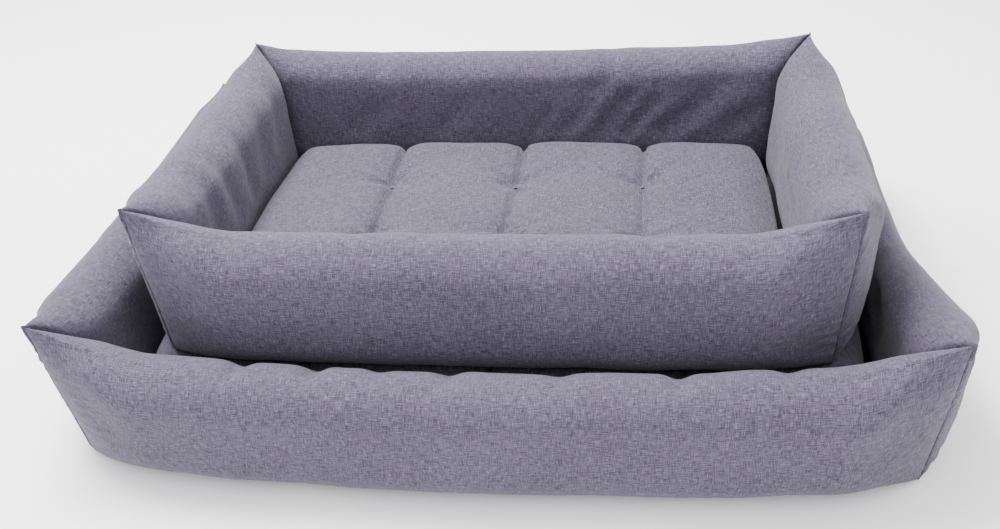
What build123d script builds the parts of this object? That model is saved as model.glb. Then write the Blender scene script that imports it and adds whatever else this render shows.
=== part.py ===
from build123d import *

import math
import os
from dataclasses import dataclass

# A nested pair of rectangular pet beds: the small one stands on the loose mat of the large one.
# Each bed is a base panel, four stuffed bolsters whose flat-sewn ends meet in upright corner seams,
# and a loose mat of two cover panels round a filling, tied through at a grid of tufts.
# Millimetres. +X runs along the beds' long side, -Y is the front, and the floor is at Z = 0.

# Shared sizes
fabric = 2.0  # thickness of a sewn cover, lining included
ease = 1.0  # play between a cover and its filling
tie_room = 1.5  # height left for the tie bars between a mat and what lies on or under it
mat_play = 3.0  # clearance between a mat and the bolsters' bulge
base_thickness = 3.0

# Bolster
bolster_width = 94.0
back_bolster_width = 82.0  # the two back bolsters press each other thinner
foot_depth = 6.0  # how far the round section is flattened where it stands
seam_half = 4.0  # half thickness of the flat-sewn end
seam_gap = 8.0  # from the corner's own line to the end of each bolster
taper_run = 140.0  # length over which an end swells to the full width
filling_setback = 14.0  # the filling stops this much short of the cover's end

# Mat
mat_plan_radius = 55.0
mat_edge_share = 0.42  # edge radius as a share of the mat's thickness
tie_radius = 1.0
tie_hole_radius = 1.6
tie_bar = (9.0, 2.2, 1.2)


@dataclass
class Bed:
    """One bed of the pair. Width and depth run from corner seam to corner seam."""

    name: str
    width: float
    depth: float
    ridge: float  # top of a bolster at mid length, above the floor of the bed
    front_ridge: float  # the same on the front bolster, which is lower so that a pet can step in
    ear: float  # top of a corner seam
    mat_thickness: float
    front_bow: float  # how far the middle of each bolster stands outside the straight line
    back_bow: float
    side_bow: float
    center_y: float = 0.0
    floor_z: float = 0.0
    tie_columns: int = 3
    tie_rows: int = 2

    @property
    def base_top(self):
        return self.floor_z + base_thickness

    @property
    def mat_bottom(self):
        return self.base_top + tie_room

    @property
    def mat_top(self):
        return self.mat_bottom + self.mat_thickness


large = Bed("large", 990, 660, ridge=182, front_ridge=158, ear=198, mat_thickness=82,
            front_bow=20, back_bow=26, side_bow=6)
small = Bed("small", 800, 495, ridge=188, front_ridge=168, ear=206, mat_thickness=70,
            front_bow=0, back_bow=0, side_bow=0)

# The large bed's front and back reach the same distance from the origin.
front_reach = large.front_bow + bolster_width / 2
back_reach = large.back_bow + back_bolster_width / 2
large.center_y = (front_reach - back_reach) / 2
small_set_back = 92.0  # from the large bed's front seam line to the small bed's
small.center_y = large.center_y - large.depth / 2 + small_set_back + small.depth / 2
small.floor_z = large.mat_top + tie_room


def bow_at(length, bow, x):
    """How far the middle line of a bolster stands outside the straight line at x."""
    return bow * (1 - (2 * x / length) ** 2)


def bolster_band(bed, ridge, length, width, bow, inset):
    """The bolster's upright racetrack section carried along its gently bowed middle line."""
    foot = bed.base_top - foot_depth
    top = bed.floor_z + ridge
    section = Plane.YZ * Pos(-bow, (foot + top) / 2) * SlotOverall(
        top - foot - 2 * inset, width - 2 * inset, rotation=90)
    if bow == 0:
        return extrude(section, length / 2, both=True)
    radius = (length**2 / 4 + bow**2) / (2 * bow)
    center_y = radius - bow
    sweep = math.degrees(math.asin(length / 2 / radius))
    band = revolve(section, Axis((0, center_y, 0), (0, 0, 1)), 2 * sweep)
    return Pos(0, center_y, 0) * Rot(0, 0, -sweep) * Pos(0, -center_y, 0) * band


def bolster_plan(length, width, bow):
    """Outline seen from above: it only trims the ends, which swell from the seam to full width."""
    end_x = length / 2 - seam_gap
    full_x = length / 2 - taper_run
    over = 4.0  # the trimming arcs run past the sides, so that they meet them at an edge
    near_y = width / 2 - bow_at(length, bow, full_x) + over
    far_y = -width / 2 - bow_at(length, bow, full_x) - over
    swell_x = end_x - 0.3 * (end_x - full_x)

    def side(sign, y):
        start = (sign * end_x, math.copysign(seam_half, y))
        middle = (sign * swell_x, start[1] + 0.6 * (y - start[1]))
        return ThreePointArc(start, middle, (sign * full_x, y))

    edges = [
        side(1, near_y), side(1, far_y), side(-1, near_y), side(-1, far_y),
        Line((end_x, -seam_half), (end_x, seam_half)),
        Line((-end_x, -seam_half), (-end_x, seam_half)),
        Line((full_x, near_y), (-full_x, near_y)),
        ThreePointArc((full_x, far_y), (0, -bow - width), (-full_x, far_y)),
    ]
    return make_face(edges)


def bolster_body(bed, ridge, length, width, bow, inset, setback=0.0):
    """A bolster lying along X, front outward, inset from the cover's outer face and cut short."""
    plan = bolster_plan(length, width, bow)
    if inset:
        plan = offset(plan, -inset)
    trim = Pos(0, 0, bed.base_top + inset) * extrude(plan, bed.ear)
    body = bolster_band(bed, ridge, length, width, bow, inset) & trim
    if setback:
        body &= Box(length - 2 * (seam_gap + setback), 4 * width, 4 * bed.ear)
    return body


def bolster_places(bed):
    """Name, place, ridge, length, width and bow of each bolster of a bed."""
    half_x, half_y = bed.width / 2, bed.depth / 2
    return [
        ("front", Pos(0, bed.center_y - half_y, 0),
         (bed.front_ridge, bed.width, bolster_width, bed.front_bow)),
        ("right", Pos(half_x, bed.center_y, 0) * Rot(0, 0, 90),
         (bed.ridge, bed.depth, bolster_width, bed.side_bow)),
        ("back", Pos(0, bed.center_y + half_y, 0) * Rot(0, 0, 180),
         (bed.ridge, bed.width, back_bolster_width, bed.back_bow)),
        ("left", Pos(-half_x, bed.center_y, 0) * Rot(0, 0, -90),
         (bed.ridge, bed.depth, bolster_width, bed.side_bow)),
    ]


def bolster_parts(bed):
    """Cover shell and filling of each bolster."""
    parts = {}
    for side, place, sizes in bolster_places(bed):
        outer = bolster_body(bed, *sizes, inset=0)
        hollow = bolster_body(bed, *sizes, inset=fabric)
        filling = bolster_body(bed, *sizes, inset=fabric + ease, setback=filling_setback)
        parts[f"{bed.name}_{side}_bolster_cover"] = place * (outer - hollow)
        parts[f"{bed.name}_{side}_bolster_filling"] = place * filling
    return parts


def corner_seams(bed):
    """The upright sewn seam at each corner, with the ear that stands out at its top."""
    flat, edge = seam_gap, seam_half - 1
    outline = Polyline((flat, -edge), (flat, edge), (edge, flat), (-edge, flat),
                       (-flat, -edge), (-edge, -flat), close=True)
    seam = extrude(make_face(outline), bed.ear - base_thickness)
    turns = {"front_left": (-1, -1, 0), "front_right": (1, -1, 90),
             "back_right": (1, 1, 180), "back_left": (-1, 1, 270)}
    parts = {}
    for corner, (side_x, side_y, turn) in turns.items():
        place = Pos(side_x * bed.width / 2, bed.center_y + side_y * bed.depth / 2, bed.base_top)
        parts[f"{bed.name}_{corner}_corner_seam"] = place * Rot(0, 0, turn) * seam
    return parts


def base_panel(bed):
    """The flat bottom panel, bowed with the bolsters and reaching under their feet."""
    under_foot = 15.0
    half_x, half_y = bed.width / 2, bed.depth / 2
    corners = [(-half_x, -half_y), (half_x, -half_y), (half_x, half_y), (-half_x, half_y)]
    mids = [(0, -half_y - bed.front_bow - under_foot), (half_x + bed.side_bow + under_foot, 0),
            (0, half_y + bed.back_bow + under_foot), (-half_x - bed.side_bow - under_foot, 0)]
    sides = [ThreePointArc(corners[i], mids[i], corners[(i + 1) % 4]) for i in range(4)]
    panel = extrude(make_face(sides), base_thickness)
    return Pos(0, bed.center_y, bed.floor_z) * panel


def mat_plan(bed):
    """Width, depth and centre of the mat, clear of the bolsters' bulge all round."""
    room = bolster_width / 2 + mat_play
    back_room = back_bolster_width / 2 + mat_play
    width = bed.width - 2 * room
    depth = bed.depth - room - back_room
    return width, depth, bed.center_y + (room - back_room) / 2


def mat_body(bed, inset):
    """The mat's rounded slab, inset from its outer face."""
    width, depth, center_y = mat_plan(bed)
    thickness = bed.mat_thickness - 2 * inset
    slab = Box(width - 2 * inset, depth - 2 * inset, thickness)
    slab = fillet(slab.edges().filter_by(Axis.Z), mat_plan_radius - inset)
    rims = slab.edges().group_by(Axis.Z)
    slab = fillet(rims[0] + rims[-1], mat_edge_share * bed.mat_thickness - inset)
    return Pos(0, center_y, bed.mat_bottom + bed.mat_thickness / 2) * slab


def tie_points(bed):
    """Plan positions of the tufts, evenly spaced."""
    width, depth, center_y = mat_plan(bed)
    step_x, step_y = width / (bed.tie_columns + 1), depth / (bed.tie_rows + 1)
    return [
        (step_x * (i - (bed.tie_columns - 1) / 2), center_y + step_y * (j - (bed.tie_rows - 1) / 2))
        for i in range(bed.tie_columns)
        for j in range(bed.tie_rows)
    ]


def mat_parts(bed):
    """Top and bottom cover panels, filling, and the ties that pull the panels together."""
    bore_height = bed.mat_thickness + 2 * tie_room
    holes = [Pos(x, y, bed.mat_bottom - tie_room) * Cylinder(
        tie_hole_radius, bore_height, align=(Align.CENTER, Align.CENTER, Align.MIN))
        for x, y in tie_points(bed)]
    cover = mat_body(bed, 0) - mat_body(bed, fabric) - holes
    filling = mat_body(bed, fabric + ease) - holes
    width, depth, center_y = mat_plan(bed)
    middle = bed.mat_bottom + bed.mat_thickness / 2
    above = Pos(0, center_y, middle) * Box(
        2 * width, 2 * depth, bed.mat_thickness, align=(Align.CENTER, Align.CENTER, Align.MIN))
    return {
        f"{bed.name}_mat_top_panel": cover & above,
        f"{bed.name}_mat_bottom_panel": cover - above,
        f"{bed.name}_mat_filling": filling,
        f"{bed.name}_mat_ties": Compound(children=[tie(bed, x, y) for x, y in tie_points(bed)]),
    }


def tie(bed, x, y):
    """One tuft: a thread through the mat between two short bar tacks."""
    low = (Align.CENTER, Align.CENTER, Align.MIN)
    thread = Pos(x, y, bed.mat_bottom) * Cylinder(tie_radius, bed.mat_thickness, align=low)
    top_bar = Pos(x, y, bed.mat_top) * Box(*tie_bar, align=low)
    bottom_bar = Pos(x, y, bed.mat_bottom - tie_bar[2]) * Box(*tie_bar, align=low)
    return thread + top_bar + bottom_bar


os.makedirs("parts", exist_ok=True)
for bed in (large, small):
    nodes = {f"{bed.name}_base_panel": base_panel(bed)}
    nodes.update(bolster_parts(bed))
    nodes.update(corner_seams(bed))
    nodes.update(mat_parts(bed))
    for node, shape in nodes.items():
        export_step(shape, f"parts/{node}.step")
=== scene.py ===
import math

import bpy
import numpy as np
from mathutils import Matrix, Vector, noise


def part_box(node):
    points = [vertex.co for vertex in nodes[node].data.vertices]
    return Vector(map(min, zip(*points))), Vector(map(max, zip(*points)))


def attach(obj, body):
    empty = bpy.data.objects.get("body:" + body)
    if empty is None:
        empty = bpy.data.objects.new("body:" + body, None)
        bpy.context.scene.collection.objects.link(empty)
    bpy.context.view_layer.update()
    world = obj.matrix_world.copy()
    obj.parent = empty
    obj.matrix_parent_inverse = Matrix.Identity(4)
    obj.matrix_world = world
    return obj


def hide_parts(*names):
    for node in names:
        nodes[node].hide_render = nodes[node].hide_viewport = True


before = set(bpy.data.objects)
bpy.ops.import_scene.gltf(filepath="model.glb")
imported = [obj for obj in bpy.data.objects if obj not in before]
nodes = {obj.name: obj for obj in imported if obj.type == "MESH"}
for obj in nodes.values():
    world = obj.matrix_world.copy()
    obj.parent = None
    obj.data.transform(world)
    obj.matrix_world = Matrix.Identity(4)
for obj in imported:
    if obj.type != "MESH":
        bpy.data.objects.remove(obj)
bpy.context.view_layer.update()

mm = 0.001
beds = ["large", "small"]
corners = ["front_left", "front_right", "back_right", "back_left"]
print("frame loaded:", len(nodes), "nodes")


# small helpers

def nothingSelected():
    if bpy.context.mode != "OBJECT":
        bpy.ops.object.mode_set(mode="OBJECT")
    bpy.ops.object.select_all(action="DESELECT")


def makeActive(piece):
    nothingSelected()
    piece.select_set(True)
    bpy.context.view_layer.objects.active = piece


def readPoints(mesh):
    flat = np.empty(len(mesh.vertices) * 3)
    mesh.vertices.foreach_get("co", flat)
    return flat.reshape(-1, 3)


def writePoints(mesh, points):
    mesh.vertices.foreach_set("co", np.asarray(points, float).ravel())
    mesh.update()


def readNormals(mesh):
    flat = np.empty(len(mesh.vertices) * 3)
    mesh.vertex_normals.foreach_get("vector", flat)
    return flat.reshape(-1, 3)


def enclosedRoom(mesh):
    # the volume inside a closed mesh in litres, negative if its faces look inward
    points = readPoints(mesh)
    mesh.calc_loop_triangles()
    corner = np.empty(len(mesh.loop_triangles) * 3, int)
    mesh.loop_triangles.foreach_get("vertices", corner)
    a, b, c = points[corner.reshape(-1, 3)].transpose(1, 0, 2)
    return float((a * np.cross(b, c)).sum() / 6 * 1000)


def openEdges(mesh):
    # how many edges do not have exactly two faces
    edges = np.empty(len(mesh.loops), int)
    mesh.loops.foreach_get("edge_index", edges)
    return int((np.bincount(edges, minlength=len(mesh.edges)) != 2).sum())


def faceOutward(piece):
    # merges the sewn edges and turns the faces outward
    makeActive(piece)
    bpy.ops.object.mode_set(mode="EDIT")
    bpy.ops.mesh.select_all(action="SELECT")
    bpy.ops.mesh.remove_doubles(threshold=0.05 * mm)
    bpy.ops.mesh.normals_make_consistent(inside=False)
    bpy.ops.object.mode_set(mode="OBJECT")
    if enclosedRoom(piece.data) < 0:
        bpy.ops.object.mode_set(mode="EDIT")
        bpy.ops.mesh.select_all(action="SELECT")
        bpy.ops.mesh.flip_normals()
        bpy.ops.object.mode_set(mode="OBJECT")
    print("  ", piece.name, round(enclosedRoom(piece.data), 2), "litres, open edges", openEdges(piece.data))


def near(value, centre, width):
    return np.exp(-((value - centre) / width) ** 2)


def smoothStep(low, high, value):
    t = np.clip((value - low) / (high - low), 0, 1)
    return t * t * (3 - 2 * t)


def cloudy(points, size, seed):
    # soft noise from -1 to 1, the same at every run
    shift = Vector((13.7 * seed, 5.1 * seed, 9.3 * seed))
    return np.array([noise.noise(Vector(p) / size + shift) for p in points])


def addModifier(piece, kind, **settings):
    modifier = piece.modifiers.new(kind.title(), kind)
    for name, value in settings.items():
        setattr(modifier, name, value)
    return modifier


def applyModifiers(piece):
    makeActive(piece)
    for modifier in list(piece.modifiers):
        bpy.ops.object.modifier_apply(modifier=modifier.name)


def putInPlace(piece, place):
    # the place goes into the mesh, and the object stays at the origin
    piece.data.transform(place)
    piece.matrix_world = Matrix.Identity(4)


def finishCloth(piece, body, replaced, material):
    piece.data.materials.clear()
    piece.data.materials.append(material)
    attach(piece, body)
    if replaced:
        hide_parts(*replaced)


# camera and light

cameraLook = {
    "place": (0.1835, -1.238, 0.8687),
    "down": 32.55,      # degrees below the horizon
    "turn": 9.24,       # degrees to the left
    "roll": -4.43,
    "lens": 39.08,
}


def addCamera(look):
    turn, down = math.radians(look["turn"]), math.radians(look["down"])
    heading = Matrix.Rotation(turn, 3, "Z")
    forward = heading @ Vector((0, math.cos(down), -math.sin(down)))
    right = heading @ Vector((1, 0, 0))
    up = right.cross(forward)
    roll = math.radians(look["roll"])
    tiltedRight = math.cos(roll) * right + math.sin(roll) * up
    tiltedUp = math.cos(roll) * up - math.sin(roll) * right
    data = bpy.data.cameras.new("camera")
    data.lens = look["lens"]
    data.sensor_width = 36
    data.clip_end = 50
    camera = bpy.data.objects.new("camera", data)
    axes = Matrix((tiltedRight, tiltedUp, -forward)).transposed()
    camera.matrix_world = Matrix.Translation(look["place"]) @ axes.to_4x4()
    bpy.context.scene.collection.objects.link(camera)
    bpy.context.scene.camera = camera


lightLook = {
    "world": ((0.98, 0.98, 1.0), 2.3),
    # name: place, size, power, colour
    "lamps": {
        "keyAbove": ((-0.9, 0.5, 2.4), 1.3, 215, (0.98, 0.98, 1.0)),
        "fillFront": ((1.1, -2.3, 1.7), 2.2, 9, (1.0, 0.96, 0.93)),
        "rimRight": ((2.2, 1.0, 1.6), 1.2, 7, (0.96, 0.97, 1.0)),
    },
}


def addLights(look):
    colour, strength = look["world"]
    world = bpy.data.worlds.new("studio")
    world.use_nodes = True
    world.node_tree.nodes["Background"].inputs["Color"].default_value = (*colour, 1)
    world.node_tree.nodes["Background"].inputs["Strength"].default_value = strength
    bpy.context.scene.world = world
    for name, (place, size, power, tint) in look["lamps"].items():
        data = bpy.data.lights.new(name, "AREA")
        data.size, data.energy, data.color = size, power, tint
        lamp = bpy.data.objects.new(name, data)
        aim = Vector((0, 0, 0.1)) - Vector(place)
        lamp.location = place
        lamp.rotation_euler = aim.to_track_quat("-Z", "Y").to_euler()
        bpy.context.scene.collection.objects.link(lamp)


addCamera(cameraLook)
addLights(lightLook)
print("camera and light")


# materials

class Field:
    # a value that changes over a surface; sums and products on it add Math nodes
    def __init__(self, tree, socket):
        self.tree, self.socket = tree, socket

    def node(self, kind, settings=None, inputs=None, output=0):
        made = self.tree.nodes.new(kind)
        for name, value in (settings or {}).items():
            if name == "stops":
                ramp = made.color_ramp
                for i, (at, colour) in enumerate(value):
                    stop = ramp.elements[i] if i < 2 else ramp.elements.new(at)
                    stop.position, stop.color = at, colour
            else:
                setattr(made, name, value)
        for key, value in (inputs or {}).items():
            if isinstance(value, Field):
                self.tree.links.new(value.socket, made.inputs[key])
            else:
                made.inputs[key].default_value = value
        return Field(self.tree, made.outputs[output])

    def math(self, operation, first, second=0.0):
        return self.node("ShaderNodeMath", {"operation": operation}, {0: first, 1: second})

    def __add__(self, other):
        return self.math("ADD", self, other)

    def __sub__(self, other):
        return self.math("SUBTRACT", self, other)

    def __mul__(self, other):
        return self.math("MULTIPLY", self, other)

    def __radd__(self, other):
        return self.math("ADD", other, self)

    def __rsub__(self, other):
        return self.math("SUBTRACT", other, self)

    def __rmul__(self, other):
        return self.math("MULTIPLY", other, self)


    def sine(self):
        return self.math("SINE", self)

    def size(self):
        return self.math("ABSOLUTE", self)

    def limited(self):
        return self.node("ShaderNodeClamp", {}, {0: self})

    def mixed(self, low, high):
        return self.node("ShaderNodeMix", {"data_type": "RGBA"}, {0: self, 6: low, 7: high}, 2)


def startMaterial(name, settings):
    material = bpy.data.materials.new(name)
    material.use_nodes = True
    shader = material.node_tree.nodes["Principled BSDF"]
    for socket, value in settings.items():
        shader.inputs[socket].default_value = value
    return material, shader, Field(material.node_tree, None)


def linear(red, green, blue):
    # a screen colour from 0 to 255 as the shader's own light values
    def one(value):
        value /= 255
        return value / 12.92 if value <= 0.04045 else ((value + 0.055) / 1.055) ** 2.4
    return (one(red), one(green), one(blue), 1)


melangeLook = {
    "deep": linear(43, 38, 50),
    "pale": linear(85, 79, 97),
    "fleck": linear(122, 117, 137),
    "thread": 0.8 * mm,       # width of one thread
    "slub": 13 * mm,          # length of a thicker stretch of thread
    "roughness": 0.9,
}


def melangeCloth(name, look, lighter=0.0):
    material, shader, start = startMaterial(name, {
        "Specular IOR Level": 0.25, "Sheen Weight": 0.12, "Sheen Roughness": 0.45})
    place = start.node("ShaderNodeUVMap", {"uv_map": "panel"})
    along = start.node("ShaderNodeSeparateXYZ", {}, {0: place}, 0)
    across = start.node("ShaderNodeSeparateXYZ", {}, {0: place}, 1)

    def threads(widthAlong, widthAcross, detail=2.0):
        spread = start.node("ShaderNodeCombineXYZ", {}, {
            0: along * (1 / widthAlong), 1: across * (1 / widthAcross)})
        return start.node("ShaderNodeTexNoise", {"noise_dimensions": "2D"}, {
            "Vector": spread, "Scale": 1.0, "Detail": detail, "Roughness": 0.62})

    thin, long = look["thread"], look["slub"]
    weft = threads(long, thin, 1.0)
    warp = threads(thin, long, 1.0)
    grain = threads(thin * 0.9, thin * 0.9, 1.0)
    shade = threads(0.16, 0.13, 3.0)
    weftFlecks = threads(long * 0.6, thin, 0.0)
    warpFlecks = threads(thin, long * 0.6, 0.0)
    tone = 0.5 + lighter + (weft - 0.5) * 1.5 + (warp - 0.5) * 1.5 + (grain - 0.5) * 0.2
    tone = (tone + (shade - 0.5) * 0.35).limited()
    colour = tone.mixed(look["deep"], look["pale"])
    bright = ((weftFlecks - 0.66) * 6.0).limited() + ((warpFlecks - 0.67) * 6.0).limited()
    colour = (bright * 0.4).limited().mixed(colour, look["fleck"])
    pitch = math.pi / thin
    weave = ((along * pitch).sine() * (across * pitch).sine()).size()
    height = weave * 0.35 + weft * 0.8 + warp * 0.8 + grain * 0.3
    bump = start.node("ShaderNodeBump", {}, {"Strength": 0.5, "Distance": 0.6 * mm, "Height": height})
    links = material.node_tree.links
    links.new(colour.socket, shader.inputs["Base Color"])
    links.new(bump.socket, shader.inputs["Normal"])
    links.new((look["roughness"] - (weft - 0.5) * 0.15).socket, shader.inputs["Roughness"])
    return material


wallCloth = melangeCloth("wallCloth", melangeLook)
matCloth = melangeCloth("matCloth", melangeLook, -0.08)
# the base cloth is a darker copy of the wall cloth: painted shade, its dark rim at the foot of the walls stands in for
# the shadow there
baseShadowCloth = melangeCloth("baseShadowCloth", dict(melangeLook, deep=linear(30, 27, 35), pale=linear(58, 54, 65),
                                           fleck=linear(72, 68, 80)))


def threadMaterial():
    material, shader, start = startMaterial("sewingThread", {"Sheen Weight": 0.2})
    place = start.node("ShaderNodeTexCoord", {}, {}, 3)
    twist = start.node("ShaderNodeTexWave", {"bands_direction": "DIAGONAL"},
                       {"Vector": place, "Scale": 900.0, "Distortion": 1.0}, 1)
    tint = (twist * 0.8).mixed(linear(34, 30, 42), linear(84, 78, 96))
    bump = start.node("ShaderNodeBump", {}, {"Strength": 0.6, "Distance": 0.2 * mm, "Height": twist})
    material.node_tree.links.new(tint.socket, shader.inputs["Base Color"])
    material.node_tree.links.new(bump.socket, shader.inputs["Normal"])
    return material


sewingThread = threadMaterial()
print("materials")


# walls

wallLook = {
    "cell": 6.5 * mm,        # size of the cloth's mesh
    "outRun": 0.135,         # the outer side swells to full over this length
    "inRun": 0.070,          # the inner side swells faster, and presses on its neighbour
    "slack": 1.03,           # spare cloth round the filling
    "gathered": 1.12,        # most spare cloth at the gathered ends
    "along": 1.012,          # spare cloth along the wall
    "earRun": 0.115,         # the ear falls to the ridge over this length
    "peakTall": 0.048,       # at the corner the rounded top is drawn up into a tent of this height
    "peakRun": 0.060,        # and it is round again this far along
    "cap": 9 * mm,           # the most that the cloth moves off the filling
    "pressGap": 0.8 * mm,    # two pressed walls stay this far off their mitre
    "slit": 3.2 * mm,        # and this much further just under the ear
}
# side: turn in degrees, thickness, how far the middle of the ridge sags on each bed, and the sign that
# turns a place along the wall into one measured to the bed's right, or to the back on a side wall
wallSides = {
    "front": {"turn": 0, "thick": 94 * mm, "sag": (11 * mm, 2 * mm), "sign": 1},
    "right": {"turn": 90, "thick": 94 * mm, "sag": (5 * mm, 2 * mm), "sign": 1},
    "back": {"turn": 180, "thick": 82 * mm, "sag": (4 * mm, 3 * mm), "sign": -1},
    "left": {"turn": 270, "thick": 94 * mm, "sag": (5 * mm, 2 * mm), "sign": -1},
}


def wallSizes(bed, side):
    # length, ridge, ear and bow of one wall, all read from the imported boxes
    turn = Matrix.Rotation(-math.radians(wallSides[side]["turn"]), 4, "Z")
    ends = []
    for corner in corners:
        if side in corner:
            low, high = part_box(f"{bed}_{corner}_corner_seam")
            ends.append(turn @ ((low + high) / 2))
            ear, floor = high.z, low.z
    seamLine = ends[0].y
    middle = (ends[0].x + ends[1].x) / 2
    low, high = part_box(f"{bed}_{side}_bolster_cover")
    reach = max(seamLine - min((turn @ low).y, (turn @ high).y), 0)
    thick = wallSides[side]["thick"]
    return {"length": abs(ends[0].x - ends[1].x), "middle": middle, "seamLine": seamLine,
            "floor": floor, "ridge": high.z, "ear": ear, "thick": thick, "bow": reach - thick / 2,
            "sag": wallSides[side]["sag"][beds.index(bed)], "sign": wallSides[side]["sign"]}


def sectionLine(half, bottom, top, count, peak=0.0, peakTall=0.0):
    # from the foot up one side to the ridge: quarter round, straight, then a round top or a sharp tent
    turns = np.linspace(0, math.pi / 2, 18)
    radius = min(half, (top - bottom) / 2)
    crown = radius + peak * max(peakTall - radius, 0)
    low = np.stack([half * np.sin(turns), bottom + radius * (1 - np.cos(turns))], 1)
    share = np.sin(turns)
    width = half * ((1 - peak) * np.cos(turns) + peak * (1 - share) ** 0.95)
    high = np.stack([width, top - crown * (1 - share)], 1)
    line = np.concatenate([low, high])
    steps = np.concatenate([[0], np.cumsum(np.linalg.norm(np.diff(line, axis=0), axis=1))])
    wanted = np.linspace(0, steps[-1], count)
    return np.stack([np.interp(wanted, steps, line[:, 0]), np.interp(wanted, steps, line[:, 1])], 1), steps[-1]


def wallShape(sizes, look, along, count):
    # rings of points round the wall, one ring for each place along it
    half, length = sizes["thick"] / 2, sizes["length"]
    rings, rests = [], []
    _, fullGirth = sectionLine(half, sizes["floor"], sizes["ridge"], count)
    for s in along:
        d = max(length / 2 - abs(s), 0)
        outer = half * math.sin(math.pi / 2 * min(d / look["outRun"], 1)) ** 0.72
        inner = half * math.sin(math.pi / 2 * min(d / look["inRun"], 1)) ** 0.8
        rise = max(1 - d / look["earRun"], 0) ** 1.45
        top = sizes["ridge"] + (sizes["ear"] - sizes["ridge"]) * rise
        top -= sizes["sag"] * (1 - (2 * s / length) ** 2)
        peak = max(1 - d / look["peakRun"], 0) ** 0.8
        bow = sizes["bow"] * (1 - (2 * s / length) ** 2)
        outLine, girth = sectionLine(outer, sizes["floor"], top, count, peak, look["peakTall"])
        inLine, _ = sectionLine(inner, sizes["floor"], top, count, peak * 0.3, look["peakTall"])
        spare = min(fullGirth / girth * look["slack"], look["gathered"])
        ring = [(s, -t - bow, z) for t, z in outLine] + [(s, t - bow, z) for t, z in inLine[-2:0:-1]]
        rings.append(ring)
        middle = np.array([s, -bow, sizes["floor"]])
        stretched = (np.array(ring) - middle) * np.array([1, spare, spare]) + middle
        stretched[:, 0] = s * look["along"]
        rests.append(stretched)
    return np.array(rings), np.array(rests)


def rollPanel(name, sizes, look, seed):
    # a flat cut panel, rolled round the filling and sewn to an upright line at both ends
    girth = 2 * (sizes["ridge"] - sizes["floor"]) + 1.14 * sizes["thick"]
    countRound = 2 * round(girth / look["cell"] / 2)
    countAlong = round(sizes["length"] / look["cell"])
    nothingSelected()
    bpy.ops.mesh.primitive_grid_add(x_subdivisions=countAlong, y_subdivisions=countRound, size=1)
    panel = bpy.context.object
    panel.name = panel.data.name = name
    mesh = panel.data
    flat = readPoints(mesh)
    columns = np.unique(flat[:, 0].round(6))
    rows = np.unique(flat[:, 1].round(6))
    column = np.searchsorted(columns, flat[:, 0].round(6))
    row = np.searchsorted(rows, flat[:, 1].round(6))
    t = 2 * column / (len(columns) - 1) - 1
    t = 1.22 * t - 0.22 * t ** 3          # closer rings towards the ends
    places = np.unique((t * sizes["length"] / 2).round(9))
    half = (len(rows) - 1) // 2 + 1
    rings, rests = wallShape(sizes, look, places, half)
    turn = row % (len(rows) - 1)
    points, rest = rings[column, turn], rests[column, turn]
    layer = mesh.uv_layers[0]
    layer.name = "panel"
    loops = np.empty(len(mesh.loops), int)
    mesh.loops.foreach_get("vertex_index", loops)
    uv = np.stack([places[column], row / (len(rows) - 1) * girth], 1)[loops]
    layer.data.foreach_set("uv", (uv + seed * 0.37).ravel())
    wobble = cloudy(points, 0.018, seed) * 0.6 * mm
    free = smoothStep(0, 0.02, sizes["length"] / 2 - abs(points[:, 0]))
    points[:, 1] += wobble * free
    writePoints(mesh, points)
    restLayer = mesh.attributes.new("restPlace", "FLOAT_VECTOR", "POINT")
    restLayer.data.foreach_set("vector", rest.ravel())
    faceOutward(panel)
    return panel


clothLook = {"frames": 16, "pressure": 1.6, "tension": 30, "bending": 1.2, "hold": 0.10}


def holdCloth(piece, weights, look):
    # pins the sewn lines fully and the rest a little, and gives the cloth its spare length
    mesh = piece.data
    rest = np.empty(len(mesh.vertices) * 3)
    mesh.attributes["restPlace"].data.foreach_get("vector", rest)
    group = piece.vertex_groups.new(name="held")
    for weight in np.unique(weights):
        group.add([int(i) for i in np.flatnonzero(weights == weight)], float(weight), "REPLACE")
    piece.shape_key_add(name="Basis", from_mix=False)
    key = piece.shape_key_add(name="cut", from_mix=False)
    key.data.foreach_set("co", rest)
    cloth = piece.modifiers.new("Cloth", "CLOTH")
    settings = cloth.settings
    settings.quality = 4
    settings.mass = 0.15
    settings.tension_stiffness = settings.compression_stiffness = look["tension"]
    settings.shear_stiffness = look["tension"] * 0.4
    settings.bending_stiffness = look["bending"]
    settings.tension_damping = settings.compression_damping = 12
    settings.shear_damping = 8
    settings.air_damping = 4
    settings.use_pressure = True
    settings.uniform_pressure_force = look["pressure"]
    settings.vertex_group_mass = "held"
    settings.pin_stiffness = 1
    settings.rest_shape_key = key
    settings.effector_weights.gravity = 0
    cloth.collision_settings.use_collision = False
    cloth.point_cache.frame_start = 1
    cloth.point_cache.frame_end = look["frames"]


def readCloth(piece, cap):
    # the simulated points, each within the cap of where it started, then the cloth is done
    started = readPoints(piece.data)
    graph = bpy.context.evaluated_depsgraph_get()
    moved = readPoints(piece.evaluated_get(graph).data)
    piece.modifiers.clear()
    piece.shape_key_clear()
    piece.vertex_groups.clear()
    piece.data.attributes.remove(piece.data.attributes["restPlace"])
    step = moved - started
    far = np.linalg.norm(step, axis=1, keepdims=True)
    kept = step / (1 + far / cap)
    writePoints(piece.data, started + kept)
    print("  ", piece.name, "moved", round(float(far.max()) / mm, 1), "mm at most")


def pressAtMitre(points, sizes, look):
    # where two walls meet inside a corner they press flat on the mitre between them
    line = points[:, 1]                      # positive is inwards
    end = sizes["length"] / 2 - abs(points[:, 0])
    slit = look["slit"] * near(points[:, 2], sizes["ear"] - 8 * mm, 26 * mm) * smoothStep(0, 8 * mm, end)
    over = np.maximum(line - (end - look["pressGap"] - slit), 0) * (line > 0)
    points[:, 1] -= over / 2
    points[:, 0] -= np.sign(points[:, 0]) * over / 2
    return points


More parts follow.
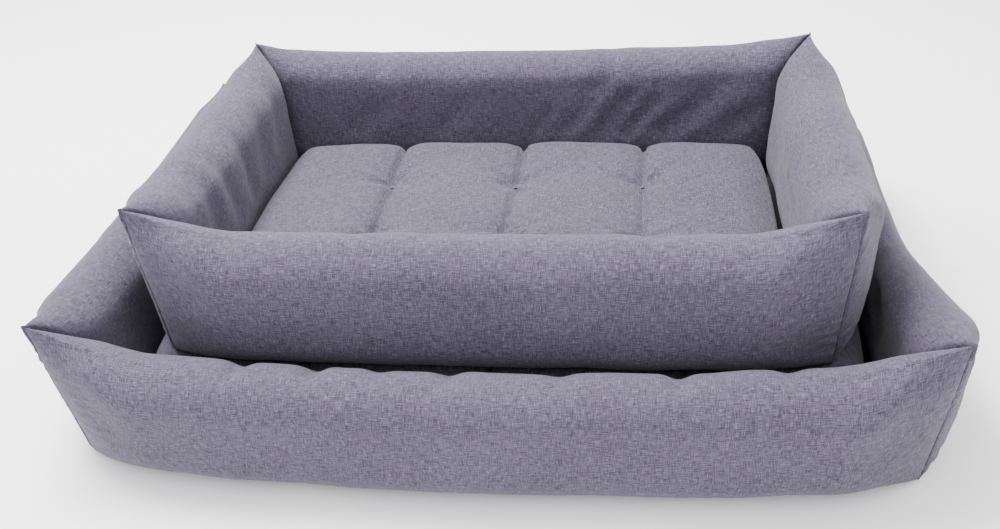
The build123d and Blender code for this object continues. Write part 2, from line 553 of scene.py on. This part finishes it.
def keepInside(points, sizes):
    # no further out or in than the room that the frame gives the wall
    half, length = sizes["thick"] / 2, sizes["length"]
    bow = sizes["bow"] * (1 - (2 * points[:, 0] / length) ** 2)
    off = points[:, 1] + bow
    room = half + 0.4 * mm
    soft = 6 * mm
    size = abs(off)
    over = np.maximum(size - (room - soft), 0)
    size = np.where(over > 0, room - soft + soft * (1 - np.exp(-over / soft)), size)
    points[:, 1] = np.sign(off) * size - bow
    points[:, 2] = np.maximum(points[:, 2], sizes["floor"] + 0.3 * mm)
    return points


# soft folds of one wall: from (along, height) to (along, height), width and depth, all in mm; along runs to
# the bed's right, or to the back on a side wall, and heights are above the bed's floor
wallFolds = {
    ("small", "back"): [(60, 78, 92, 108, 12, 4.3), (112, 70, 150, 124, 13, 6.7), (150, 72, 190, 118, 10, 6.1),
                        (205, 74, 262, 116, 14, 7.0), (20, 76, 34, 104, 10, 3.2), (240, 128, 300, 150, 16, 3.8),
                        (-120, 80, -96, 112, 16, 3.5), (-250, 84, -205, 120, 17, 3.2), (86, 128, 120, 150, 14, 2.9),
                        (300, 80, 335, 104, 13, 3.8)],
    ("small", "left"): [(-60, 90, -72, 160, 16, 4.6), (10, 84, 2, 150, 14, 3.8), (70, 90, 84, 150, 17, 4.3),
                        (-130, 110, -120, 165, 14, 3.5), (130, 100, 150, 150, 15, 3.2)],
    ("small", "right"): [(-110, 118, -40, 124, 10, 2.6), (-60, 96, 20, 104, 12, 2.6), (30, 128, 100, 120, 10, 2.3),
                         (90, 90, 150, 100, 14, 2.9)],
    ("small", "front"): [(-180, 100, -150, 150, 21, 2.6), (160, 96, 200, 150, 23, 2.6), (20, 90, -10, 140, 25, 2.0)],
    ("large", "right"): [(-130, 120, -80, 150, 18, 4.9), (-170, 90, -130, 130, 16, 4.3), (40, 100, 80, 150, 23, 3.8)],
    ("large", "left"): [(120, 96, 90, 150, 21, 4.1), (-60, 100, -40, 150, 23, 3.8)],
    ("large", "back"): [(-200, 90, -170, 150, 23, 3.8), (60, 90, 90, 150, 23, 3.5), (260, 90, 230, 150, 21, 3.5)],
    ("large", "front"): [(-300, 60, -280, 120, 28, 2.3), (240, 60, 250, 120, 25, 2.3)],
}
# the same on the outer side: hollows under the ears and soft dents of the faces
outerFolds = {
    ("small", "front"): [(-374, 192, -342, 108, 23, 4.3), (-366, 176, -300, 158, 23, 2.5), (-120, 96, 30, 84, 37, 2.6),
                         (372, 196, 346, 104, 23, 5.2), (366, 182, 306, 166, 21, 3.4), (150, 110, 260, 92, 35, 2.9)],
    ("large", "front"): [(-468, 176, -432, 92, 25, 4.3), (-458, 160, -378, 136, 25, 2.8), (-250, 74, -90, 92, 37, 3.2),
                         (468, 178, 436, 88, 25, 4.3), (456, 166, 372, 140, 23, 3.4), (60, 96, 260, 76, 40, 3.2)],
    ("small", "right"): [(-222, 186, -190, 110, 23, 4.3), (-60, 120, 20, 100, 29, 3.2)],
    ("large", "right"): [(-300, 176, -262, 96, 25, 3.8), (-120, 104, 20, 88, 33, 3.2)],
    ("small", "left"): [(-222, 186, -190, 110, 23, 3.8), (40, 110, 110, 96, 31, 3.2)],
    ("large", "left"): [(-300, 176, -262, 96, 25, 3.8), (20, 100, 160, 84, 33, 3.2)],
}
# places in mm where the ridge of a wall is drawn in, and how deep
wallNotches = {
    ("large", "front"): [(-267, 4.5), (-182, 5.0), (-110, 2.5), (-32, 5.0), (90, 3.0), (216, 5.0), (330, 3.0)],
    ("large", "back"): [(-250, 3.0), (40, 4.0), (210, 3.0)],
    ("small", "back"): [(-210, 2.4), (130, 2.0)],
    ("small", "front"): [(-60, 1.2), (190, 1.5)],
}
puckerLook = {"pitch": 15 * mm, "reach": 28 * mm, "tall": 2.2 * mm}
lumpLook = {"size": 0.085, "tall": 3.0 * mm, "fine": 0.026, "fineTall": 0.5 * mm}


def foldCloth(wall, sizes, folds, dents, notches, seed):
    # presses the soft folds, the notches of the ridge and the puckers of the ends into a finished wall
    points, normals = readPoints(wall.data), readNormals(wall.data)
    along, height = points[:, 0] * sizes["sign"], points[:, 2] - sizes["floor"]
    bow = sizes["bow"] * (1 - (2 * along / sizes["length"]) ** 2)
    inward = points[:, 1] + bow
    inner = smoothStep(0, 10 * mm, inward)
    outer = smoothStep(0, 3 * mm, -inward)
    lift = np.zeros(len(points))
    sides = [inner] * len(folds) + [outer] * len(dents)
    for sided, (x0, h0, x1, h1, width, depth) in zip(sides, np.array(folds + dents) * mm):
        run = np.array([x1 - x0, h1 - h0])
        t = ((along - x0) * run[0] + (height - h0) * run[1]) / (run @ run)
        held = np.clip(t, 0, 1)
        off = np.hypot(along - x0 - held * run[0], height - h0 - held * run[1]) / width
        fade = 1 - 0.35 * np.abs(2 * held - 1)
        lift -= depth * fade * (near(off, 0, 1.0) - 0.2 * near(off, 1.9, 0.7)) * sided
    crest = smoothStep(0.055, 0.012, sizes["ridge"] - points[:, 2])
    for x, depth in np.array(notches or [(0, 0)]) * mm:
        lift -= 1.5 * depth * near(along, x, 13 * mm) * crest * smoothStep(-25 * mm, 5 * mm, inward)
    end = sizes["length"] / 2 - abs(along)
    phase = cloudy(points, 0.05, seed + 3) * 2.2
    rough = smoothStep(-0.25, 0.35, cloudy(points * [1, 1, 0.6], 0.045, seed + 7))
    wave = np.sin(height * 2 * math.pi / puckerLook["pitch"] + phase * 2)
    hem = smoothStep(0.5 * mm, 5 * mm, end) * np.exp(-end / puckerLook["reach"])
    tube = smoothStep(0, 12 * mm, height) * smoothStep(0, 40 * mm, sizes["ear"] - points[:, 2])
    lift += puckerLook["tall"] * wave * hem * rough * tube * outer
    calm = smoothStep(0, 40 * mm, end)
    lift += lumpLook["tall"] * cloudy(points * [1, 1, 0.7], lumpLook["size"], seed) * calm
    lift += lumpLook["fineTall"] * cloudy(points, lumpLook["fine"], seed + 11) * calm
    writePoints(wall.data, points + normals * lift[:, None])


walls = {}
for bedIndex, bed in enumerate(beds):
    for sideIndex, side in enumerate(wallSides):
        sizes = wallSizes(bed, side)
        wall = rollPanel(f"{bed}_{side}_wall", sizes, wallLook, 1 + 4 * bedIndex + sideIndex)
        walls[bed, side] = (wall, sizes)
        print("  ", wall.name, len(wall.data.vertices), "points",
              {k: round(v / mm) for k, v in sizes.items()})
print("wall panels rolled")


# mats

matLook = {
    "cell": 7.0 * mm,
    "round": 0.055,         # how far in from the rim the mat reaches its full height
    "groove": 0.10,         # share of the height that a groove takes
    "grooveWidth": 0.016,
    "tuft": 0.22,           # share of the height that a tuft takes
    "tuftWidth": 0.026,
    "scallop": 6 * mm,      # the rim is drawn in this far at each groove
    "slack": 1.035,
    "cap": 8 * mm,
}


def tieBoxes(bed):
    # places of the six ties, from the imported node's separate bars
    points = readPoints(nodes[f"{bed}_mat_ties"].data)
    found = []
    for p in points:
        if not any(math.hypot(p[0] - q[0], p[1] - q[1]) < 0.02 for q in found):
            found.append((p[0], p[1]))
    return [tuple(np.mean([p[:2] for p in points if math.hypot(p[0] - q[0], p[1] - q[1]) < 0.02], axis=0))
            for q in found]


def matSheet(u, v, upper, sizes, look, dipped):
    # one point of the mat's top or bottom sheet; u and v run from -1 to 1
    low, high, ties = sizes["low"], sizes["high"], sizes["ties"]
    halfX, halfY = (high.x - low.x) / 2, (high.y - low.y) / 2
    x = halfX * u * np.sqrt(1 - 0.10 * v ** 2 / 2) * (1 - 0.035 * (u * v) ** 8)
    y = halfY * v * np.sqrt(1 - 0.10 * u ** 2 / 2) * (1 - 0.06 * (u * v) ** 8)
    lines = sorted({round(t[0], 3) for t in ties})
    groove = sum(near(x, line, look["grooveWidth"]) for line in lines)
    rim = smoothStep(0.8, 1.0, abs(v))
    y = y - np.sign(v) * look["scallop"] * rim * groove
    inX, inY = halfX * (1 - abs(u)), halfY * (1 - abs(v))
    d = 1 / (1 / np.maximum(inX, 1e-6) ** 4 + 1 / np.maximum(inY, 1e-6) ** 4) ** 0.25
    bend = np.minimum(d / look["round"], 1)
    height = np.where(bend < 0.001, 0, (1 - (1 - bend) ** 2.3) ** (1 / 2.3))
    if dipped:
        height = height * (1 - look["groove"] * np.minimum(groove, 1))
        tuft = sum(np.exp(-np.hypot(x - tx, y - (ty - sizes["shift"])) / look["tuftWidth"]) for tx, ty in ties)
        height = height * (1 - look["tuft"] * np.minimum(tuft, 1))
    thick = (high.z - low.z) / 2
    share = 1.0 if upper else 0.96
    z = (low.z + high.z) / 2 + (1 if upper else -1) * thick * height * share
    return np.stack([x + (low.x + high.x) / 2, y + (low.y + high.y) / 2, z], 1)


def matSizes(bed):
    low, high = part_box(f"{bed}_mat_top_panel")
    bottom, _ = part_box(f"{bed}_mat_bottom_panel")
    low.z = bottom.z
    return {"low": low, "high": high, "ties": tieBoxes(bed), "shift": (low.y + high.y) / 2}


def sewMat(name, sizes, look, seed):
    # two flat sheets with a shared rim
    width, depth = sizes["high"].x - sizes["low"].x, sizes["high"].y - sizes["low"].y
    sheets = []
    for upper in (True, False):
        nothingSelected()
        bpy.ops.mesh.primitive_grid_add(x_subdivisions=round(width / look["cell"]),
                                        y_subdivisions=round(depth / look["cell"]), size=2)
        sheet = bpy.context.object
        mesh = sheet.data
        flat = readPoints(mesh)
        u, v = np.sin(flat[:, 0] * 1.2) / math.sin(1.2), np.sin(flat[:, 1] * 1.2) / math.sin(1.2)
        points = matSheet(u, v, upper, sizes, look, True)
        rest = matSheet(u, v, upper, sizes, look, False)
        centre = np.array([(sizes["low"].x + sizes["high"].x) / 2, sizes["shift"], 0])
        rest = (rest - centre) * np.array([look["slack"], look["slack"], 1]) + centre
        layer = mesh.uv_layers[0]
        layer.name = "panel"
        loops = np.empty(len(mesh.loops), int)
        mesh.loops.foreach_get("vertex_index", loops)
        uv = np.stack([u * width / 2, v * depth / 2], 1)[loops]
        layer.data.foreach_set("uv", (uv + 0.41 * seed).ravel())
        points[:, 2] += cloudy(points, 0.03, seed) * 0.8 * mm * smoothStep(0, 0.2, 1 - np.maximum(abs(u), abs(v)))
        writePoints(mesh, points)
        mesh.attributes.new("restPlace", "FLOAT_VECTOR", "POINT").data.foreach_set("vector", rest.ravel())
        sheets.append(sheet)
    nothingSelected()
    for sheet in sheets:
        sheet.select_set(True)
    bpy.context.view_layer.objects.active = sheets[0]
    bpy.ops.object.join()
    mat = bpy.context.object
    mat.name = mat.data.name = name
    faceOutward(mat)
    return mat


mats = {}
for bedIndex, bed in enumerate(beds):
    sizes = matSizes(bed)
    mats[bed] = (sewMat(f"{bed}_mat", sizes, matLook, 20 + bedIndex), sizes)
    print("  ", bed, "mat", len(mats[bed][0].data.vertices), "points, ties", len(sizes["ties"]))
print("mats sewn")


# one simulation for all the padded pieces

def simulate():
    for (bed, side), (wall, sizes) in walls.items():
        points = readPoints(wall.data)
        end = sizes["length"] / 2 - abs(points[:, 0])
        weights = np.where(end < 1 * mm, 1.0, clothLook["hold"])
        weights = np.where(points[:, 2] < sizes["floor"] + 1 * mm, 1.0, weights)
        holdCloth(wall, weights, clothLook)
    for bed, (mat, sizes) in mats.items():
        points = readPoints(mat.data)
        weights = np.full(len(points), clothLook["hold"])
        for x, y in sizes["ties"]:
            weights = np.where(np.hypot(points[:, 0] - x, points[:, 1] - y) < 6 * mm, 1.0, weights)
        holdCloth(mat, weights, dict(clothLook, pressure=1.0))
    scene = bpy.context.scene
    for step in range(1, clothLook["frames"] + 1):
        scene.frame_set(step)
    for wall, _ in walls.values():
        readCloth(wall, wallLook["cap"])
    for mat, _ in mats.values():
        readCloth(mat, matLook["cap"])
    scene.frame_set(1)


simulate()
print("cloth simulated")


splayLook = {"out": {"large": 24 * mm, "small": 15 * mm}, "level": 0.6, "reach": 0.13}


leanLook = {"inner": 0.447, "thin": 0.42, "low": 0.24, "front": -0.33, "back": 0.02}


def leanRight(points, look):
    # the right wall of the large bed is pressed thinner and lower from its front end to its back
    share = smoothStep(look["front"], look["back"], points[:, 1])
    over = np.maximum(points[:, 0] - look["inner"], 0)
    points[:, 0] -= over * look["thin"] * share
    points[:, 2] *= 1 - look["low"] * share * smoothStep(0.20, 0.46, points[:, 0])
    return points


def splayCorners(piece, bed):
    # the walls lean out at the ears and draw in at the feet, most at the corners
    points = readPoints(piece.data)
    moved = points.copy()
    for corner in corners:
        low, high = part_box(f"{bed}_{corner}_corner_seam")
        x, y = (low.x + high.x) / 2, (low.y + high.y) / 2
        tilt = splayLook["out"][bed] * ((points[:, 2] - low.z) / (high.z - low.z) - splayLook["level"])
        reach = np.hypot(points[:, 0] - x, points[:, 1] - y) / splayLook["reach"]
        push = tilt * np.exp(-reach ** 2)
        moved[:, 0] += push * (1 if "right" in corner else -1)
        moved[:, 1] += push * (1 if "back" in corner else -1) * 0.6
    if bed == "large":
        moved = leanRight(moved, leanLook)
    writePoints(piece.data, moved)


def smoothOnce(piece):
    addModifier(piece, "SUBSURF", levels=1, render_levels=1)
    applyModifiers(piece)
    makeActive(piece)
    bpy.ops.object.shade_smooth()


for number, ((bed, side), (wall, sizes)) in enumerate(walls.items()):
    smoothOnce(wall)
    writePoints(wall.data, keepInside(readPoints(wall.data), sizes))
    foldCloth(wall, sizes, wallFolds.get((bed, side), []), outerFolds.get((bed, side), []),
              wallNotches.get((bed, side)), 31 + number)
    points = readPoints(wall.data)
    points[:, 2] = np.maximum(points[:, 2], sizes["floor"] + 0.3 * mm)
    writePoints(wall.data, pressAtMitre(points, sizes, wallLook))
    putInPlace(wall, Matrix.Rotation(math.radians(wallSides[side]["turn"]), 4, "Z")
               @ Matrix.Translation((sizes["middle"], sizes["seamLine"], 0)))
    splayCorners(wall, bed)
    finishCloth(wall, f"{bed}_bed",
                [f"{bed}_{side}_bolster_cover", f"{bed}_{side}_bolster_filling"], wallCloth)
print("walls finished")

pressLook = {"groove": 2.5 * mm, "grooveWidth": 22 * mm, "crease": 10 * mm, "creaseWidth": 4.2 * mm,
             "tuft": 7 * mm, "tuftWidth": 13 * mm, "rays": 3.6 * mm, "raysReach": 40 * mm}


def pressMat(mat, sizes, look, seed):
    # draws the finished mat in along its grooves and at its tufts, with creases that run out from each tuft
    points = readPoints(mat.data)
    low, high = sizes["low"], sizes["high"]
    middle = (low.z + high.z) / 2
    side = np.sign(points[:, 2] - middle)
    body = smoothStep(0, 22 * mm, abs(points[:, 2] - middle))
    drop = np.zeros(len(points))
    away = np.min([np.hypot(points[:, 0] - tx, points[:, 1] - ty) for tx, ty in sizes["ties"]], axis=0)
    shallow = 1 - 0.75 * near(away, 0, look["tuftWidth"])
    for line in sorted({round(t[0], 3) for t in sizes["ties"]}):
        wander = noise.noise(Vector((seed, line * 9, 0.3))) * 6 * mm
        x = line + wander * np.sin(points[:, 1] * 14) * shallow
        drop = np.maximum(drop, look["groove"] * near(points[:, 0], x, look["grooveWidth"])
                          + look["crease"] * near(points[:, 0], x, look["creaseWidth"]) * shallow)
    for number, (tx, ty) in enumerate(sizes["ties"]):
        away = np.hypot(points[:, 0] - tx, points[:, 1] - ty)
        turn = np.arctan2(points[:, 1] - ty, points[:, 0] - tx)
        ray = np.cos(5 * turn + number * 1.9) + 0.6 * np.cos(8 * turn - number)
        rays = look["rays"] * ray * smoothStep(3 * mm, 12 * mm, away) * np.exp(-away / look["raysReach"])
        drop += look["tuft"] * np.exp(-away / look["tuftWidth"]) + rays
    points[:, 2] -= side * drop * body
    lump = cloudy(points, 0.09, seed) * 2.4 * mm + cloudy(points, 0.03, seed + 5) * 0.7 * mm
    points[:, 2] += lump * body * (side > 0)
    writePoints(mat.data, points)


for bed, (mat, sizes) in mats.items():
    points = readPoints(mat.data)
    low, high = sizes["low"], sizes["high"]
    points[:, 2] = np.clip(points[:, 2], low.z - 0.5 * mm, high.z + 0.6 * mm)
    points[:, 0] = np.clip(points[:, 0], low.x - 1.5 * mm, high.x + 1.5 * mm)
    points[:, 1] = np.clip(points[:, 1], low.y - 1.5 * mm, high.y + 1.5 * mm)
    writePoints(mat.data, points)
    smoothOnce(mat)
    pressMat(mat, sizes, pressLook, 71 + beds.index(bed))
    putInPlace(mat, Matrix.Identity(4))
    finishCloth(mat, f"{bed}_mat",
                [f"{bed}_mat_top_panel", f"{bed}_mat_bottom_panel", f"{bed}_mat_filling"], matCloth)
print("mats finished")


# corner seams

seamLook = {"wide": 5.0 * mm, "thick": 1.3 * mm, "inside": 3.0 * mm, "steps": 64, "stitch": 6.5 * mm}


def cornerSeam(bed, corner, seed):
    # the folded seam allowance that stands out at a corner, narrow at the foot and pinched into the ear
    low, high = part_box(f"{bed}_{corner}_corner_seam")
    x, y = (low.x + high.x) / 2, (low.y + high.y) / 2
    tall = high.z - low.z
    nothingSelected()
    bpy.ops.mesh.primitive_cube_add(size=1, location=(0, 0, 0))
    seam = bpy.context.object
    seam.name = seam.data.name = f"{bed}_{corner}_seam"
    bpy.ops.object.mode_set(mode="EDIT")
    bpy.ops.mesh.select_all(action="SELECT")
    bpy.ops.transform.resize(value=(seamLook["wide"] + seamLook["inside"], seamLook["thick"] * 2, tall))
    bpy.ops.mesh.bisect(plane_co=(0, 0, 0), plane_no=(1, 0, 0))
    for step in range(1, seamLook["steps"]):
        bpy.ops.mesh.select_all(action="SELECT")
        bpy.ops.mesh.bisect(plane_co=(0, 0, tall * (step / seamLook["steps"] - 0.5)), plane_no=(0, 0, 1))
    bpy.ops.object.mode_set(mode="OBJECT")
    points = readPoints(seam.data)
    share = points[:, 2] / tall + 0.5
    out = points[:, 0] + (seamLook["inside"] - seamLook["wide"]) / 2
    waves = np.array([noise.noise(Vector((seed * 3.1, 7.7, z / 0.021))) for z in points[:, 2]])
    slow = np.array([noise.noise(Vector((seed * 1.7, 2.2, z / 0.06))) for z in points[:, 2]])
    wide = np.clip(0.55 + 0.5 * slow, 0.3, 1) * smoothStep(0, 0.05, share) * (1 - 0.9 * smoothStep(0.93, 1, share))
    points[:, 0] = np.where(out > 0, out * wide, out)
    points[:, 1] = points[:, 1] * (1 - 0.75 * smoothStep(0.9, 1, share)) + waves * 1.1 * mm * np.clip(out / mm, 0, 1)
    points[:, 0] += 2.0 * mm * smoothStep(0.82, 1, share)
    writePoints(seam.data, points)
    addModifier(seam, "SUBSURF", levels=1, render_levels=1)
    applyModifiers(seam)
    bpy.ops.object.shade_smooth()
    cloth = seam.data.uv_layers[0]
    cloth.name = "panel"
    points = readPoints(seam.data)
    loops = np.empty(len(seam.data.loops), int)
    seam.data.loops.foreach_get("vertex_index", loops)
    cloth.data.foreach_set("uv", (points[loops][:, [0, 2]] + seed).ravel())
    facing = math.atan2(y - mats[bed][1]["shift"], x)
    facing = math.copysign(math.pi / 4, math.sin(facing)) if x > 0 else math.copysign(3 * math.pi / 4, math.sin(facing))
    putInPlace(seam, Matrix.Translation((x, y, low.z + tall / 2)) @ Matrix.Rotation(facing, 4, "Z"))
    splayCorners(seam, bed)
    finishCloth(seam, f"{bed}_bed", [f"{bed}_{corner}_corner_seam"], wallCloth)


for bedIndex, bed in enumerate(beds):
    for cornerIndex, corner in enumerate(corners):
        cornerSeam(bed, corner, 1 + 4 * bedIndex + cornerIndex)
print("corner seams")


# base sheets

baseLook = {"cell": 12 * mm, "thick": 2.0 * mm, "hem": 9 * mm, "hemTall": 0.5 * mm}


def baseSheet(bed, seed):
    # the flat cloth under a bed, given a thickness and a bevelled rim, with sides that follow the walls
    low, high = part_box(f"{bed}_base_panel")
    front, right = walls[bed, "front"][1], walls[bed, "right"][1]
    halfX, halfY = front["length"] / 2, right["length"] / 2
    centre = (walls[bed, "front"][1]["seamLine"] - walls[bed, "back"][1]["seamLine"]) / 2
    nothingSelected()
    bpy.ops.mesh.primitive_grid_add(x_subdivisions=round(2 * halfX / baseLook["cell"]),
                                    y_subdivisions=round(2 * halfY / baseLook["cell"]), size=2)
    sheet = bpy.context.object
    sheet.name = sheet.data.name = f"{bed}_base"
    flat = readPoints(sheet.data)
    u, v = flat[:, 0], flat[:, 1]
    frontBow, backBow = centre - halfY - low.y, high.y - centre - halfY
    x = u * (halfX + (high.x - halfX) * (1 - v ** 2))
    y = centre + v * (halfY + np.where(v < 0, frontBow, backBow) * (1 - u ** 2))
    rim = np.minimum(halfX * (1 - abs(u)), halfY * (1 - abs(v)))
    wavy = cloudy(np.stack([x, y, 0 * x], 1), 0.09, seed) * 0.25 * mm
    z = low.z + 0.3 * mm + baseLook["thick"] / 2 + wavy * smoothStep(0, 0.03, rim) * 0.5
    writePoints(sheet.data, np.stack([x, y, z], 1))
    addModifier(sheet, "SOLIDIFY", thickness=baseLook["thick"], offset=0, use_even_offset=True)
    applyModifiers(sheet)
    addModifier(sheet, "BEVEL", width=0.6 * mm, segments=2, limit_method="ANGLE")
    applyModifiers(sheet)
    bpy.ops.object.shade_smooth()
    layer = sheet.data.uv_layers[0]
    layer.name = "panel"
    points = readPoints(sheet.data)
    loops = np.empty(len(sheet.data.loops), int)
    sheet.data.loops.foreach_get("vertex_index", loops)
    layer.data.foreach_set("uv", (points[loops][:, :2] + seed).ravel())
    splayCorners(sheet, bed)
    # the base sheet takes the darker cloth, painted shade along the foot of the walls
    finishCloth(sheet, f"{bed}_bed", [f"{bed}_base_panel"], baseShadowCloth)
    [] if bed == "large" else ["large_mat"]


for bedIndex, bed in enumerate(beds):
    baseSheet(bed, 51 + bedIndex)
print("base sheets")


# ties

tieLook = {"long": 11 * mm, "half": 1.0 * mm, "strands": 3, "proud": 1.2 * mm}


def tieStitches(bed):
    # a short bar of thread at the bottom of each tuft, above and below, and the thread between them
    mat, sizes = mats[bed]
    points = readPoints(mat.data)
    parts = []
    for number, (x, y) in enumerate(sizes["ties"]):
        close = points[np.hypot(points[:, 0] - x, points[:, 1] - y) < 5 * mm]
        middle = (sizes["low"].z + sizes["high"].z) / 2
        top = np.median(close[close[:, 2] > middle][:, 2]) + tieLook["proud"]
        bottom = np.median(close[close[:, 2] < middle][:, 2]) - tieLook["proud"]
        for z in (top + 0.3 * mm, bottom - 0.3 * mm):
            for strand in range(tieLook["strands"]):
                side = (strand - 1) * 1.2 * mm
                nothingSelected()
                bpy.ops.mesh.primitive_cylinder_add(vertices=8, radius=tieLook["half"], depth=tieLook["long"],
                                                    rotation=(0, math.pi / 2, 0.12 * (number - 2)),
                                                    location=(x, y + side, z))
                bar = bpy.context.object
                bpy.ops.object.transform_apply(location=True, rotation=True, scale=True)
                bpy.ops.object.mode_set(mode="EDIT")
                bpy.ops.mesh.select_all(action="SELECT")
                for cut in (-0.3, -0.1, 0.1, 0.3):
                    bpy.ops.mesh.select_all(action="SELECT")
                    bpy.ops.mesh.bisect(plane_co=(x + cut * tieLook["long"], y, z), plane_no=(1, 0, 0))
                bpy.ops.object.mode_set(mode="OBJECT")
                strandPoints = readPoints(bar.data)
                bend = abs(strandPoints[:, 0] - x) / (tieLook["long"] / 2)
                strandPoints[:, 2] -= math.copysign(1.2 * mm, z - middle) * bend ** 2 - 0.2 * mm
                writePoints(bar.data, strandPoints)
                parts.append(bar)
        nothingSelected()
        bpy.ops.mesh.primitive_cylinder_add(vertices=10, radius=0.9 * mm, depth=top - bottom,
                                            location=(x, y, (top + bottom) / 2))
        parts.append(bpy.context.object)
    nothingSelected()
    for part in parts:
        part.select_set(True)
    bpy.context.view_layer.objects.active = parts[0]
    bpy.ops.object.join()
    ties = bpy.context.object
    ties.name = ties.data.name = f"{bed}_ties"
    bpy.ops.object.transform_apply(location=True, rotation=True, scale=True)
    bpy.ops.object.shade_smooth_by_angle(angle=math.radians(60))
    finishCloth(ties, f"{bed}_mat", [f"{bed}_mat_ties"], sewingThread)


for bed in beds:
    tieStitches(bed)
print("ties")


# floor

bpy.ops.mesh.primitive_plane_add(size=12, location=(0, 0, -0.3 * mm))
floor = bpy.context.object
floor.name = "floor"
floorMaterial, floorShader, _ = startMaterial("paleFloor", {
    "Base Color": linear(249, 249, 250), "Roughness": 0.85, "Specular IOR Level": 0.1})
floor.data.materials.append(floorMaterial)
